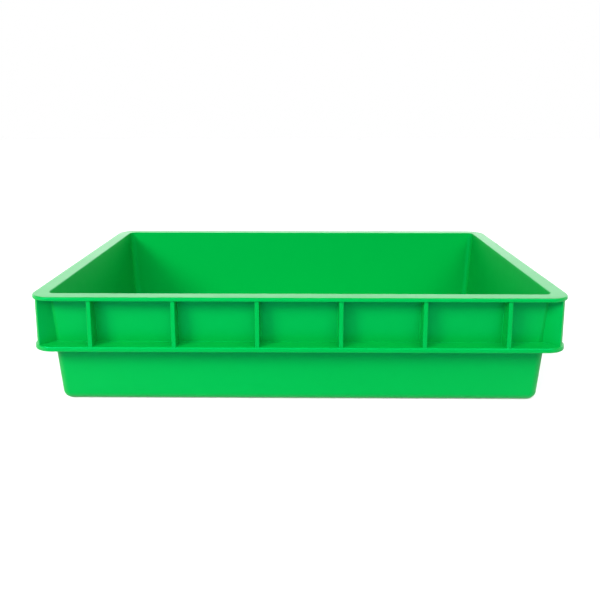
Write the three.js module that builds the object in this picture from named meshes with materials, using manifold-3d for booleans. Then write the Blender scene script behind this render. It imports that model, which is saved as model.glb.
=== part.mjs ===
// A shallow stacking tub, moulded in one piece of green plastic: a tapered, open-topped pan with a
// flat rim, a second flange below it, and upright ribs between the two.
// Millimetres, +Z up, X along the long side. The origin is the middle of the underside.

import * as THREE from "three";
import { mergeVertices } from "three/addons/utils/BufferGeometryUtils.js";
import Module from "manifold-3d";

const wasm = await Module();
wasm.setup();

// Overall size, over the rim.
const length = 600;
const width = 400;
const height = 130;

// Pan: a drafted wall of even thickness with rounded corners and a rounded bottom edge.
const wallThickness = 2.5;
const floorThickness = 2.5;
const draftDegrees = 4.1;
const panCornerRadius = 11; // outside of the wall
const floorCornerRadius = 1; // corners of the flat part of the floor, inside and out

// Rim and flange: flat rings that stand out from the wall.
const rimWidth = 17.8; // outer edge to inner edge
const rimThickness = 4.2;
const ringCornerRadius = 24.5;
const flangeDrop = 57; // top of the rim to top of the flange
const flangeThickness = 5.5;
const flangeSetback = 0.3; // flange edge inside the rim's edge

// Ribs: upright plates between the flange and the rim.
const ribThickness = 5;
const ribSetback = 1.1; // rib edge inside the flange's edge
const longSideRibs = 6;
const shortSideRibs = 4;
const firstRibInset = 68.25; // outer corner to the middle of the first rib, on every side
const rootGap = 0.3; // rib to sloping wall

const floorPanMargin = 2; // plain wall on the floor pan, above its rounded edge

const arcSegments = 8;
const edgeSegments = 5;

// Levels and slopes that follow from the sizes above.
const taper = Math.tan(THREE.MathUtils.degToRad(draftDegrees));
const rimUnderside = height - rimThickness;
const flangeTop = height - flangeDrop;
const flangeUnderside = flangeTop - flangeThickness;
const overhang = rimWidth - wallThickness; // rim edge to outside of the wall, at the rim's top
const cavityCornerRadius = panCornerRadius - wallThickness;
// Where the wall turns into the floor, the edge is as round as the upright corners allow.
const bottomEdgeRadius = panCornerRadius - floorCornerRadius;
const cavityEdgeRadius = cavityCornerRadius - floorCornerRadius;
const floorPanHeight = bottomEdgeRadius + floorPanMargin;

function plastic() {
  return new THREE.MeshStandardMaterial({ color: 0x08b850, roughness: 0.4, metalness: 0 });
}

// Rounded rectangle, counter-clockwise from above.
function roundedRectangle(halfX, halfY, radius) {
  const shape = new THREE.Shape();
  const cx = halfX - radius;
  const cy = halfY - radius;
  const quarter = Math.PI / 2;
  shape.absarc(cx, cy, radius, 0, quarter, false);
  shape.absarc(-cx, cy, radius, quarter, 2 * quarter, false);
  shape.absarc(-cx, -cy, radius, 2 * quarter, 3 * quarter, false);
  shape.absarc(cx, -cy, radius, 3 * quarter, 4 * quarter, false);
  shape.closePath();
  return shape;
}

function toSolid(geometry) {
  geometry.deleteAttribute("normal");
  geometry.deleteAttribute("uv");
  const merged = mergeVertices(geometry);
  const mesh = new wasm.Mesh({
    numProp: 3,
    vertProperties: new Float32Array(merged.attributes.position.array),
    triVerts: new Uint32Array(merged.index.array),
  });
  return new wasm.Manifold(mesh);
}

function toGeometry(solid) {
  const mesh = solid.getMesh();
  const geometry = new THREE.BufferGeometry();
  geometry.setAttribute("position", new THREE.BufferAttribute(mesh.vertProperties, 3));
  geometry.setIndex(new THREE.BufferAttribute(mesh.triVerts, 1));
  geometry.computeVertexNormals();
  return geometry;
}

function named(name, geometry) {
  const mesh = new THREE.Mesh(geometry, plastic());
  mesh.name = name;
  return mesh;
}

// A level slab larger than the tub, which cuts the pan at the heights given.
function slab(bottom, top) {
  const box = new THREE.BoxGeometry(2 * length, 2 * width, top - bottom);
  box.translate(0, 0, (bottom + top) / 2);
  return toSolid(box);
}

// A block whose sides lean in towards the bottom, with a rounded bottom edge. The half sizes are
// those at the rim's top. It stands on z = bottom and passes above the rim.
function draftedBlock(halfX, halfY, radius, edgeRadius, bottom) {
  const overRun = 2 * edgeRadius;
  const shape = roundedRectangle(halfX - edgeRadius, halfY - edgeRadius, radius - edgeRadius);
  const block = new THREE.ExtrudeGeometry(shape, {
    depth: height + overRun - bottom - edgeRadius,
    curveSegments: arcSegments,
    bevelThickness: edgeRadius,
    bevelSize: edgeRadius,
    bevelSegments: edgeSegments,
  });
  block.translate(0, 0, bottom + edgeRadius);
  const points = block.attributes.position;
  for (let i = 0; i < points.count; i++) {
    const lean = (height - points.getZ(i)) * taper;
    points.setX(i, points.getX(i) - Math.sign(points.getX(i)) * lean);
    points.setY(i, points.getY(i) - Math.sign(points.getY(i)) * lean);
  }
  return toSolid(block);
}

function panOutside() {
  const halfX = length / 2 - overhang;
  const halfY = width / 2 - overhang;
  return draftedBlock(halfX, halfY, panCornerRadius, bottomEdgeRadius, 0);
}

function panInside() {
  const halfX = length / 2 - rimWidth;
  const halfY = width / 2 - rimWidth;
  return draftedBlock(halfX, halfY, cavityCornerRadius, cavityEdgeRadius, floorThickness);
}

// The pan between two levels.
function panSlice(name, bottom, top) {
  const shell = panOutside().subtract(panInside());
  return named(name, toGeometry(shell.intersect(slab(bottom, top))));
}

// A flat ring round the pan, open where the pan is open.
function ring(name, setback, bottom, top) {
  const halfX = length / 2 - setback;
  const halfY = width / 2 - setback;
  const plate = new THREE.ExtrudeGeometry(
    roundedRectangle(halfX, halfY, ringCornerRadius - setback),
    { depth: top - bottom, curveSegments: arcSegments, bevelEnabled: false },
  );
  plate.translate(0, 0, bottom);
  return named(name, toGeometry(toSolid(plate).subtract(panInside())));
}

// One rib, drawn in side view and given its thickness. Its outer edge is upright and its inner edge
// follows the wall. reach is the distance from the rib's own axis to its outer edge, wallAtRim the
// same to the wall at the rim's top, and lean how fast the wall falls back per millimetre down.
function rib(name, reach, wallAtRim, lean) {
  const wallAt = (z) => wallAtRim - (height - z) * lean + rootGap;
  const side = new THREE.Shape();
  side.moveTo(wallAt(flangeTop), flangeTop);
  side.lineTo(reach, flangeTop);
  side.lineTo(reach, rimUnderside);
  side.lineTo(wallAt(rimUnderside), rimUnderside);
  side.closePath();
  const plate = new THREE.ExtrudeGeometry(side, { depth: ribThickness, bevelEnabled: false });
  plate.translate(0, 0, -ribThickness / 2);
  plate.rotateX(Math.PI / 2);
  return named(name, plate);
}

// Evenly spaced places along a side, with the first and last at firstRibInset from its ends.
function ribPlaces(sideLength, count) {
  const span = sideLength - 2 * firstRibInset;
  return Array.from({ length: count }, (_, i) => -span / 2 + (i * span) / (count - 1));
}

const edgeInset = flangeSetback + ribSetback;

// Ribs of one straight side. angle turns the rib's outward direction from +X.
function sideRibs(side, sideLength, count, angle, depth) {
  const group = new THREE.Group();
  ribPlaces(sideLength, count).forEach((place, i) => {
    const plate = rib(`${side}_rib_${i + 1}`, depth / 2 - edgeInset, depth / 2 - overhang, taper);
    plate.rotation.z = angle;
    const along = side === "front" || side === "back" ? "x" : "y";
    plate.position[along] = place;
    group.add(plate);
  });
  return group;
}

// The diagonal rib of one corner, on the line through the centre of the ring's corner arc.
function cornerRib(name, signX, signY) {
  const centreX = length / 2 - ringCornerRadius;
  const centreY = width / 2 - ringCornerRadius;
  // On the diagonal, the wall's rounded corner lies this far out from the arc's centre.
  const wallCorner = ringCornerRadius - overhang;
  const wallAtRim = Math.SQRT2 * wallCorner - (Math.SQRT2 - 1) * panCornerRadius;
  const plate = rib(name, ringCornerRadius - edgeInset, wallAtRim, Math.SQRT2 * taper);
  plate.rotation.z = Math.atan2(signY, signX);
  plate.position.set(signX * centreX, signY * centreY, 0);
  return plate;
}

const tub = new THREE.Group();
tub.add(panSlice("floor_pan", -1, floorPanHeight));
tub.add(panSlice("lower_wall", floorPanHeight, flangeUnderside));
tub.add(ring("lower_flange", flangeSetback, flangeUnderside, flangeTop));
tub.add(panSlice("upper_wall", flangeTop, rimUnderside));
tub.add(ring("top_rim", 0, rimUnderside, height));

tub.add(sideRibs("front", length, longSideRibs, -Math.PI / 2, width));
tub.add(sideRibs("back", length, longSideRibs, Math.PI / 2, width));
tub.add(sideRibs("left", width, shortSideRibs, Math.PI, length));
tub.add(sideRibs("right", width, shortSideRibs, 0, length));

tub.add(cornerRib("corner_rib_front_left", -1, -1));
tub.add(cornerRib("corner_rib_front_right", 1, -1));
tub.add(cornerRib("corner_rib_back_left", -1, 1));
tub.add(cornerRib("corner_rib_back_right", 1, 1));

export default tub;
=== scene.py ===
# A green stacking tub, moulded in one piece. The fixed frame gives every size and place. This file
# gives the moulding its rounded edges, its fillets and its plastic, and the studio round it.
# Metres, +Z up, X along the long side, the front towards -Y.
import math

import bmesh
import bpy
from mathutils import Matrix, Vector


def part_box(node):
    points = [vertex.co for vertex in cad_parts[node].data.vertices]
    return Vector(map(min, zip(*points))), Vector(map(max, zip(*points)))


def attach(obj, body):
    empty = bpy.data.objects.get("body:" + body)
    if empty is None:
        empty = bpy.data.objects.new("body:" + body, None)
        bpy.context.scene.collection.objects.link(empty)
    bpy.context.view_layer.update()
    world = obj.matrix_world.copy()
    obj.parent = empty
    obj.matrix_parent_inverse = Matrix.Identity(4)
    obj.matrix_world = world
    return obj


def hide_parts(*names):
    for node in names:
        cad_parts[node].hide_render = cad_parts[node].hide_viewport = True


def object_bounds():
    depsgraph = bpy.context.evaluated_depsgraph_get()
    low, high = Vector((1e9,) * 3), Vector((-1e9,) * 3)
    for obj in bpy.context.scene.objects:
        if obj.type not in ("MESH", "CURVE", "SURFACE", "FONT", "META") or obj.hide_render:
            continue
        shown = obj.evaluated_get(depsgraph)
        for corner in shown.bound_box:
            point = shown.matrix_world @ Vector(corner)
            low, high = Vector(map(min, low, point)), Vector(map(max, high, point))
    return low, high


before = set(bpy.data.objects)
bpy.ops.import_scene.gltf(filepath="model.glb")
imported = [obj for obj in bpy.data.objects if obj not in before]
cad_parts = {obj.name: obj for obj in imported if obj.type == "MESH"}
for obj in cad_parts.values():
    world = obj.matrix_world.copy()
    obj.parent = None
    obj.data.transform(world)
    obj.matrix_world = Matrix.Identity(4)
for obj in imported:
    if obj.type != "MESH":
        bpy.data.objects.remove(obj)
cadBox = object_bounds()
scene = bpy.context.scene

cameraSetup = {
    "distance": 0.9012,  # in front of the tub's middle
    "height": 0.3358,  # above what the tub stands on
    "aside": 0.006,
    "tilt": 10.04,  # degrees down
    "turn": 0.42,  # degrees to the left
    "roll": -0.04,
    "lens": 40.0,
    "sensor": 36.0,
    "shift": -0.126,
}


def addCamera(setup):
    data = bpy.data.cameras.new("camera")
    data.lens = setup["lens"]
    data.sensor_width = setup["sensor"]
    data.shift_y = setup["shift"]
    camera = bpy.data.objects.new("camera", data)
    scene.collection.objects.link(camera)
    middle = (cadBox[0] + cadBox[1]) / 2
    camera.location = (
        middle.x + setup["aside"],
        middle.y - setup["distance"],
        cadBox[0].z + setup["height"],
    )
    camera.rotation_euler = (
        math.radians(90 - setup["tilt"]),
        math.radians(setup["roll"]),
        math.radians(setup["turn"]),
    )
    scene.camera = camera


addCamera(cameraSetup)
print("camera in place")

# Levels and slopes of the moulding, read from the fixed frame.
rimLow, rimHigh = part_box("top_rim")
flangeLow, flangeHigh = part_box("lower_flange")
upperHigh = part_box("upper_wall")[1]
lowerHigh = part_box("lower_wall")[1]
lean = (upperHigh.x - lowerHigh.x) / (upperHigh.z - lowerHigh.z)  # wall, sideways per height

moulding = {
    "wall": 0.0025,
    "cornerRadius": 0.011,  # outside of the wall
    "ringRadius": 0.0245,  # corners of the rim and the flange
    "cornerSteps": 16,
    "fillet": 0.0003,  # every inside corner
    "filletSteps": 3,
    "neck": 0.003,  # wall that belongs to the rim or the flange
    "sharpAngle": 40,  # degrees; a sharper edge than this isn't shaded smooth
}

plasticLook = {
    "green": (0.0, 0.34, 0.04, 1),
    "deepGreen": (0.0, 0.325, 0.036, 1),
    "mottleScale": 14,
    "mottleDetail": 4,
    "roughLow": 0.34,
    "roughHigh": 0.42,
    "ior": 1.5,
    "glossTint": (0.0, 1, 0.8, 1),  # only straight on; at a glance the gloss stays white
    "grainScale": 1400,
    "grainDetail": 2,
    "grainBump": 0.06,
    "grainDepth": 0.0002,
    "waveScale": 60,
    "waveDetail": 1,
    "waveBump": 0.05,
    "waveDepth": 0.002,
}


def addNode(tree, kind, inputs=(), **settings):
    node = tree.nodes.new(kind)
    for key, value in settings.items():
        setattr(node, key, value)
    for key, value in dict(inputs).items():
        if isinstance(value, bpy.types.NodeSocket):
            tree.links.new(value, node.inputs[key])
        else:
            node.inputs[key].default_value = value
    return node


def makePlastic(look):
    material = bpy.data.materials.new("greenPlastic")
    material.use_nodes = True
    tree = material.node_tree
    shader = tree.nodes["Principled BSDF"]
    place = addNode(tree, "ShaderNodeTexCoord").outputs["Object"]

    mottle = addNode(tree, "ShaderNodeTexNoise", {
        "Vector": place, "Scale": look["mottleScale"], "Detail": look["mottleDetail"],
    })
    colour = addNode(tree, "ShaderNodeMix", {
        0: mottle.outputs["Fac"], 6: look["green"], 7: look["deepGreen"],
    }, data_type="RGBA")
    tree.links.new(colour.outputs[2], shader.inputs["Base Color"])

    rough = addNode(tree, "ShaderNodeMapRange", {
        "Value": mottle.outputs["Fac"], "To Min": look["roughLow"], "To Max": look["roughHigh"],
    })
    tree.links.new(rough.outputs["Result"], shader.inputs["Roughness"])

    grain = addNode(tree, "ShaderNodeTexNoise", {
        "Vector": place, "Scale": look["grainScale"], "Detail": look["grainDetail"],
    })
    grainBump = addNode(tree, "ShaderNodeBump", {
        "Height": grain.outputs["Fac"], "Strength": look["grainBump"],
        "Distance": look["grainDepth"],
    })
    wave = addNode(tree, "ShaderNodeTexNoise", {
        "Vector": place, "Scale": look["waveScale"], "Detail": look["waveDetail"],
    })
    waveBump = addNode(tree, "ShaderNodeBump", {
        "Height": wave.outputs["Fac"], "Strength": look["waveBump"],
        "Distance": look["waveDepth"], "Normal": grainBump.outputs["Normal"],
    })
    tree.links.new(waveBump.outputs["Normal"], shader.inputs["Normal"])
    shader.inputs["IOR"].default_value = look["ior"]
    shader.inputs["Specular Tint"].default_value = look["glossTint"]
    return material


plastic = makePlastic(plasticLook)
print("plastic mixed")


def wallHalves(z, inward=0.0):
    back = (upperHigh.z - z) * lean + inward
    return upperHigh.x - back, upperHigh.y - back


def addLoop(bm, halves, radius, z):
    # one rounded rectangle, as a loop of edges
    made = bmesh.ops.create_grid(bm, x_segments=1, y_segments=1, size=1)["verts"]
    bmesh.ops.scale(bm, vec=(halves[0], halves[1], 1), verts=made)
    bmesh.ops.translate(bm, vec=(0, 0, z), verts=made)
    made = bmesh.ops.bevel(
        bm, geom=made, offset=radius, offset_type="OFFSET", segments=moulding["cornerSteps"],
        profile=0.5, affect="VERTICES", material=-1,
    )["verts"]
    face = made[0].link_faces[0]
    edges = list(face.edges)
    bmesh.ops.delete(bm, geom=[face], context="FACES_ONLY")
    return edges


def wallLoop(bm, z, inward=0.0):
    return addLoop(bm, wallHalves(z, inward), moulding["cornerRadius"] - inward, z)


def edgeLoop(bm, halves, z):
    return addLoop(bm, halves, moulding["ringRadius"], z)


def shiftLoop(bm, loop, rise):
    bmesh.ops.translate(bm, vec=(0, 0, rise), verts=list({v for edge in loop for v in edge.verts}))


def bridge(bm, loops, closed=False):
    # loops that lie at one level are spread apart while they are joined, or they join twisted
    spread = 0.5
    for i, loop in enumerate(loops):
        shiftLoop(bm, loop, i * spread)
    following = loops[1:] + loops[:1] if closed else loops[1:]
    for first, second in zip(loops, following):
        bmesh.ops.bridge_loops(bm, edges=first + second)
    for i, loop in enumerate(loops):
        shiftLoop(bm, loop, -i * spread)


def roundOff(bm, loop, radius, steps):
    bmesh.ops.bevel(
        bm, geom=loop, offset=radius, offset_type="OFFSET", segments=steps,
        profile=0.5, affect="EDGES", material=-1,
    )


def addPiece(name, bm, nodes):
    bmesh.ops.recalc_face_normals(bm, faces=bm.faces)
    mesh = bpy.data.meshes.new(name)
    bm.to_mesh(mesh)
    bm.free()
    mesh.shade_smooth()
    mesh.set_sharp_from_angle(angle=math.radians(moulding["sharpAngle"]))
    mesh.materials.append(plastic)
    piece = bpy.data.objects.new(name, mesh)
    scene.collection.objects.link(piece)
    shading = piece.modifiers.new("evenShading", "WEIGHTED_NORMAL")
    shading.keep_sharp = True
    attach(piece, "root")
    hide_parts(*nodes)
    return piece


lowerPanShape = {
    "footRadius": 0.010,  # outside, where the wall turns into the floor
    "footSteps": 10,
}


def makeLowerPan(shape):
    wall = moulding["wall"]
    top = flangeLow.z - moulding["neck"]
    bm = bmesh.new()
    foot = wallLoop(bm, 0)
    trough = wallLoop(bm, wall, wall)
    bridge(bm, [foot, wallLoop(bm, top), wallLoop(bm, top, wall), trough])
    bmesh.ops.contextual_create(bm, geom=foot)
    bmesh.ops.contextual_create(bm, geom=trough)
    # the floor meets the wall at more than a right angle, so the radius sits this share along
    share = math.tan((math.pi / 2 - math.atan(lean)) / 2)
    roundOff(bm, foot, shape["footRadius"] * share, shape["footSteps"])
    roundOff(bm, trough, (shape["footRadius"] - wall) * share, shape["footSteps"])
    addPiece("lowerPan", bm, ["floor_pan", "lower_wall"])


flangeShape = {
    "upperRadius": 0.0018,
    "underRadius": 0.0006,
    "edgeSteps": 5,
}


def makeFlange(shape):
    wall, neck = moulding["wall"], moulding["neck"]
    low, high = flangeLow.z, flangeHigh.z
    edge = (flangeHigh.x, flangeHigh.y)
    bm = bmesh.new()
    underRoot, upperRoot = wallLoop(bm, low), wallLoop(bm, high)
    underEdge, upperEdge = edgeLoop(bm, edge, low), edgeLoop(bm, edge, high)
    bridge(bm, [
        wallLoop(bm, low - neck, wall), wallLoop(bm, high + neck, wall), wallLoop(bm, high + neck),
        upperRoot, upperEdge, underEdge, underRoot, wallLoop(bm, low - neck),
    ], closed=True)
    roundOff(bm, upperEdge, shape["upperRadius"], shape["edgeSteps"])
    roundOff(bm, underEdge, shape["underRadius"], shape["edgeSteps"])
    for loop in (underRoot, upperRoot):
        roundOff(bm, loop, moulding["fillet"], moulding["filletSteps"])
    addPiece("lowerFlange", bm, ["lower_flange"])


def makeUpperWall():
    low, high = flangeHigh.z + moulding["neck"], rimLow.z - moulding["neck"]
    wall = moulding["wall"]
    bm = bmesh.new()
    bridge(bm, [
        wallLoop(bm, low), wallLoop(bm, high), wallLoop(bm, high, wall), wallLoop(bm, low, wall),
    ], closed=True)
    addPiece("upperWall", bm, ["upper_wall"])


rimShape = {
    "innerRadius": 0.0009,
    "outerRadius": 0.0016,
    "underRadius": 0.0005,
    "edgeSteps": 4,
}


def makeRim(shape):
    wall = moulding["wall"]
    low, high = rimLow.z, rimHigh.z
    start = low - moulding["neck"]
    edge = (rimHigh.x, rimHigh.y)
    bm = bmesh.new()
    innerEdge, root = wallLoop(bm, high, wall), wallLoop(bm, low)
    outerEdge, underEdge = edgeLoop(bm, edge, high), edgeLoop(bm, edge, low)
    bridge(bm, [
        wallLoop(bm, start, wall), innerEdge, outerEdge, underEdge, root, wallLoop(bm, start),
    ], closed=True)
    roundOff(bm, innerEdge, shape["innerRadius"], shape["edgeSteps"])
    roundOff(bm, outerEdge, shape["outerRadius"], shape["edgeSteps"])
    roundOff(bm, underEdge, shape["underRadius"], shape["edgeSteps"])
    roundOff(bm, root, moulding["fillet"], moulding["filletSteps"])
    addPiece("topRim", bm, ["top_rim"])


ribShape = {
    "rootThickness": 0.0053,
    "edgeThickness": 0.0049,
    "edgeRadius": 0.0007,
    "edgeSteps": 3,
    "sink": 0.0005,  # into the wall, the flange and the rim
    "seat": 0.00005,  # how far the fillets run into the flange, the rim and a flat wall
    "cornerSeat": 0.0006,  # the same into the round wall of a corner
}


def quarterRound(radius, steps):
    # how far a fillet stands out, and how high it has climbed, from its foot to its end
    turns = [math.pi / 2 * i / steps for i in range(steps + 1)]
    return [(radius * (1 - math.sin(t)), radius * (1 - math.cos(t))) for t in turns]


def ribSection(bm, reach, wallReach, seat, z):
    # seen from above and pointing along +X: a plate on a wider foot, which is sunk in the wall
    root, edge = ribShape["rootThickness"] / 2, ribShape["edgeThickness"] / 2
    surface = wallReach - seat
    back = surface - ribShape["sink"]
    foot = root + moulding["fillet"] + seat
    corners = [bm.verts.new((x, y, z)) for x, y in (
        (back, -foot), (surface, -foot), (surface, -root), (reach, -edge),
        (reach, edge), (surface, root), (surface, foot), (back, foot),
    )]
    bm.faces.new(corners)
    rounds = (
        ((2, 5), moulding["fillet"], moulding["filletSteps"]),
        ((3, 4), ribShape["edgeRadius"], ribShape["edgeSteps"]),
    )
    for places, radius, steps in rounds:
        bmesh.ops.bevel(
            bm, geom=[corners[i] for i in places], offset=radius, offset_type="OFFSET",
            segments=steps, profile=0.5, affect="VERTICES", material=-1,
        )
    bm.faces.ensure_lookup_table()
    return bm.faces[0]


def makeRib(name, node, reach, wallReach, ribLean, seat, turn, axis):
    low, high = flangeHigh.z - ribShape["seat"], rimLow.z + ribShape["seat"]
    sink = ribShape["sink"]
    climb = quarterRound(moulding["fillet"], moulding["filletSteps"])
    levels = [(out, low + up) for out, up in climb]
    levels += [(out, high - up) for out, up in reversed(climb)]
    levels += [(0, high + sink)]

    bm = bmesh.new()
    cap = ribSection(bm, reach, wallReach, seat, low - sink)
    outNow, zNow = 0, low - sink
    for out, z in levels:
        bmesh.ops.inset_region(
            bm, faces=[cap], thickness=outNow - out, depth=z - zNow,
            use_boundary=True, use_even_offset=True,
        )
        outNow, zNow = out, z
    bmesh.ops.holes_fill(bm, edges=[edge for edge in bm.edges if edge.is_boundary])

    # the root follows the sloping wall, and the outer edge stays upright
    slope = Matrix.Identity(4)
    slope[0][2] = ribLean
    slope[0][3] = -ribLean * rimLow.z
    rootVerts = [v for v in bm.verts if v.co.x < (wallReach + reach) / 2]
    bmesh.ops.transform(bm, matrix=slope, verts=rootVerts)
    bmesh.ops.rotate(bm, cent=(0, 0, 0), matrix=Matrix.Rotation(turn, 3, "Z"), verts=bm.verts)
    bmesh.ops.translate(bm, vec=axis, verts=bm.verts)
    addPiece(name, bm, [node])


def makeSideRibs(side, turn, wallReach):
    outward = Vector((math.cos(turn), math.sin(turn), 0))
    count = 1
    while f"{side}_rib_{count}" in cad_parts:
        node = f"{side}_rib_{count}"
        low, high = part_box(node)
        reach = max(low.dot(outward), high.dot(outward))
        middle = (low + high) / 2
        axis = middle - outward * middle.dot(outward)
        axis.z = 0
        makeRib(
            f"{side}Rib{count}", node, reach, wallReach, lean, ribShape["seat"], turn, axis,
        )
        count += 1


def makeCornerRib(name, node, signX, signY):
    # on the line through the middle of the rim's corner arc and of the wall's
    setback = rimHigh.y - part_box("back_rib_1")[1].y
    arcX, arcY = rimHigh.x - moulding["ringRadius"], rimHigh.y - moulding["ringRadius"]
    between = upperHigh.x - moulding["cornerRadius"] - arcX
    wallReach = math.sqrt(2) * between + moulding["cornerRadius"]
    makeRib(
        name, node, moulding["ringRadius"] - setback, wallReach, math.sqrt(2) * lean,
        ribShape["cornerSeat"], math.atan2(signY, signX), (signX * arcX, signY * arcY, 0),
    )


makeLowerPan(lowerPanShape)
makeFlange(flangeShape)
makeUpperWall()
makeRim(rimShape)
print("pan, flange and rim moulded")

makeSideRibs("front", -math.pi / 2, upperHigh.y)
makeSideRibs("back", math.pi / 2, upperHigh.y)
makeSideRibs("left", math.pi, upperHigh.x)
makeSideRibs("right", 0, upperHigh.x)
makeCornerRib("cornerRibFrontLeft", "corner_rib_front_left", -1, -1)
makeCornerRib("cornerRibFrontRight", "corner_rib_front_right", 1, -1)
makeCornerRib("cornerRibBackLeft", "corner_rib_back_left", -1, 1)
makeCornerRib("cornerRibBackRight", "corner_rib_back_right", 1, 1)
print("ribs moulded")

studio = {
    "floorSize": 12,
    "floorGap": 0.0002,  # under the tub
    "floorColour": (0.75, 0.75, 0.75, 1),
    "floorRoughness": 0.9,
    "floorGlow": 0.4,
    "aim": (0, 0, 0.07),
    "distance": 2.5,
    "lamps": {  # degrees from the front and up, then width, height and watts
        "keySoftbox": (-46, 30, 0.7, 0.7, 44),
        "fillSoftbox": (56, 50, 1.2, 1.0, 20),
    },
    "backdropGlow": 3.3,
    "backdropEdge": (-0.2, 0.6),  # where it fades in, from the front to the back
    "backdropTop": (0.55, 0.25),  # and from high to low
    "canopyGlow": 4.6,
    "canopyEdge": (-0.3, -0.8),
    "canopyFoot": (0.25, 0.55),
    "roomWhite": 1.0,
}


def addLamp(name, around, up, width, height, watts, setup):
    data = bpy.data.lights.new(name, "AREA")
    data.shape = "RECTANGLE"
    data.size = width
    data.size_y = height
    data.energy = watts
    lamp = bpy.data.objects.new(name, data)
    scene.collection.objects.link(lamp)
    turn, rise = math.radians(around), math.radians(up)
    level = math.cos(rise)
    away = Vector((math.sin(turn) * level, -math.cos(turn) * level, math.sin(rise)))
    lamp.location = Vector(setup["aim"]) + away * setup["distance"]
    lamp.rotation_euler = away.to_track_quat("Z", "Y").to_euler()


def makeFloor(setup):
    bm = bmesh.new()
    bmesh.ops.create_grid(bm, x_segments=1, y_segments=1, size=setup["floorSize"] / 2)
    bmesh.ops.translate(bm, vec=(0, 0, cadBox[0].z - setup["floorGap"]), verts=bm.verts)
    mesh = bpy.data.meshes.new("floor")
    bm.to_mesh(mesh)
    bm.free()
    floor = bpy.data.objects.new("floor", mesh)
    scene.collection.objects.link(floor)
    paper = bpy.data.materials.new("palePaper")
    paper.use_nodes = True
    tree = paper.node_tree
    shader = tree.nodes["Principled BSDF"]
    shader.inputs["Base Color"].default_value = setup["floorColour"]
    shader.inputs["Roughness"].default_value = setup["floorRoughness"]
    shader.inputs["Emission Color"].default_value = (1, 1, 1, 1)
    # the glow keeps the paper white; it is only seen directly, so it throws no light on the tub
    seen = addNode(tree, "ShaderNodeLightPath").outputs["Is Camera Ray"]
    glow = addNode(tree, "ShaderNodeMath", {0: seen, 1: setup["floorGlow"]}, operation="MULTIPLY")
    tree.links.new(glow.outputs[0], shader.inputs["Emission Strength"])
    mesh.materials.append(paper)


def makeRoom(setup):
    # a backdrop glows low down behind the tub and a canopy high up in front of it; seen directly,
    # the room is plain white
    world = bpy.data.worlds.new("studio")
    world.use_nodes = True
    tree = world.node_tree
    direction = addNode(tree, "ShaderNodeTexCoord").outputs["Generated"]
    parts = addNode(tree, "ShaderNodeSeparateXYZ", {"Vector": direction}).outputs

    def fade(axis, span):
        return addNode(tree, "ShaderNodeMapRange", {
            "Value": parts[axis], "From Min": span[0], "From Max": span[1],
        }, interpolation_type="SMOOTHSTEP").outputs["Result"]

    def times(first, second):
        product = addNode(tree, "ShaderNodeMath", {0: first, 1: second}, operation="MULTIPLY")
        return product.outputs[0]

    backdrop = times(fade("Y", setup["backdropEdge"]), fade("Z", setup["backdropTop"]))
    canopy = times(fade("Y", setup["canopyEdge"]), fade("Z", setup["canopyFoot"]))
    level = addNode(tree, "ShaderNodeMath", {
        0: times(backdrop, setup["backdropGlow"]), 1: times(canopy, setup["canopyGlow"]),
    }).outputs[0]
    seen = addNode(tree, "ShaderNodeLightPath").outputs["Is Camera Ray"]
    strength = addNode(tree, "ShaderNodeMix", {
        0: seen, 2: level, 3: setup["roomWhite"],
    }).outputs[0]
    background = tree.nodes["Background"]
    background.inputs["Color"].default_value = (1, 1, 1, 1)
    tree.links.new(strength, background.inputs["Strength"])
    scene.world = world


def makeStudio(setup):
    makeFloor(setup)
    makeRoom(setup)
    for name, lamp in setup["lamps"].items():
        addLamp(name, *lamp, setup)
    scene.view_settings.view_transform = "Standard"


makeStudio(studio)
print("studio lit")
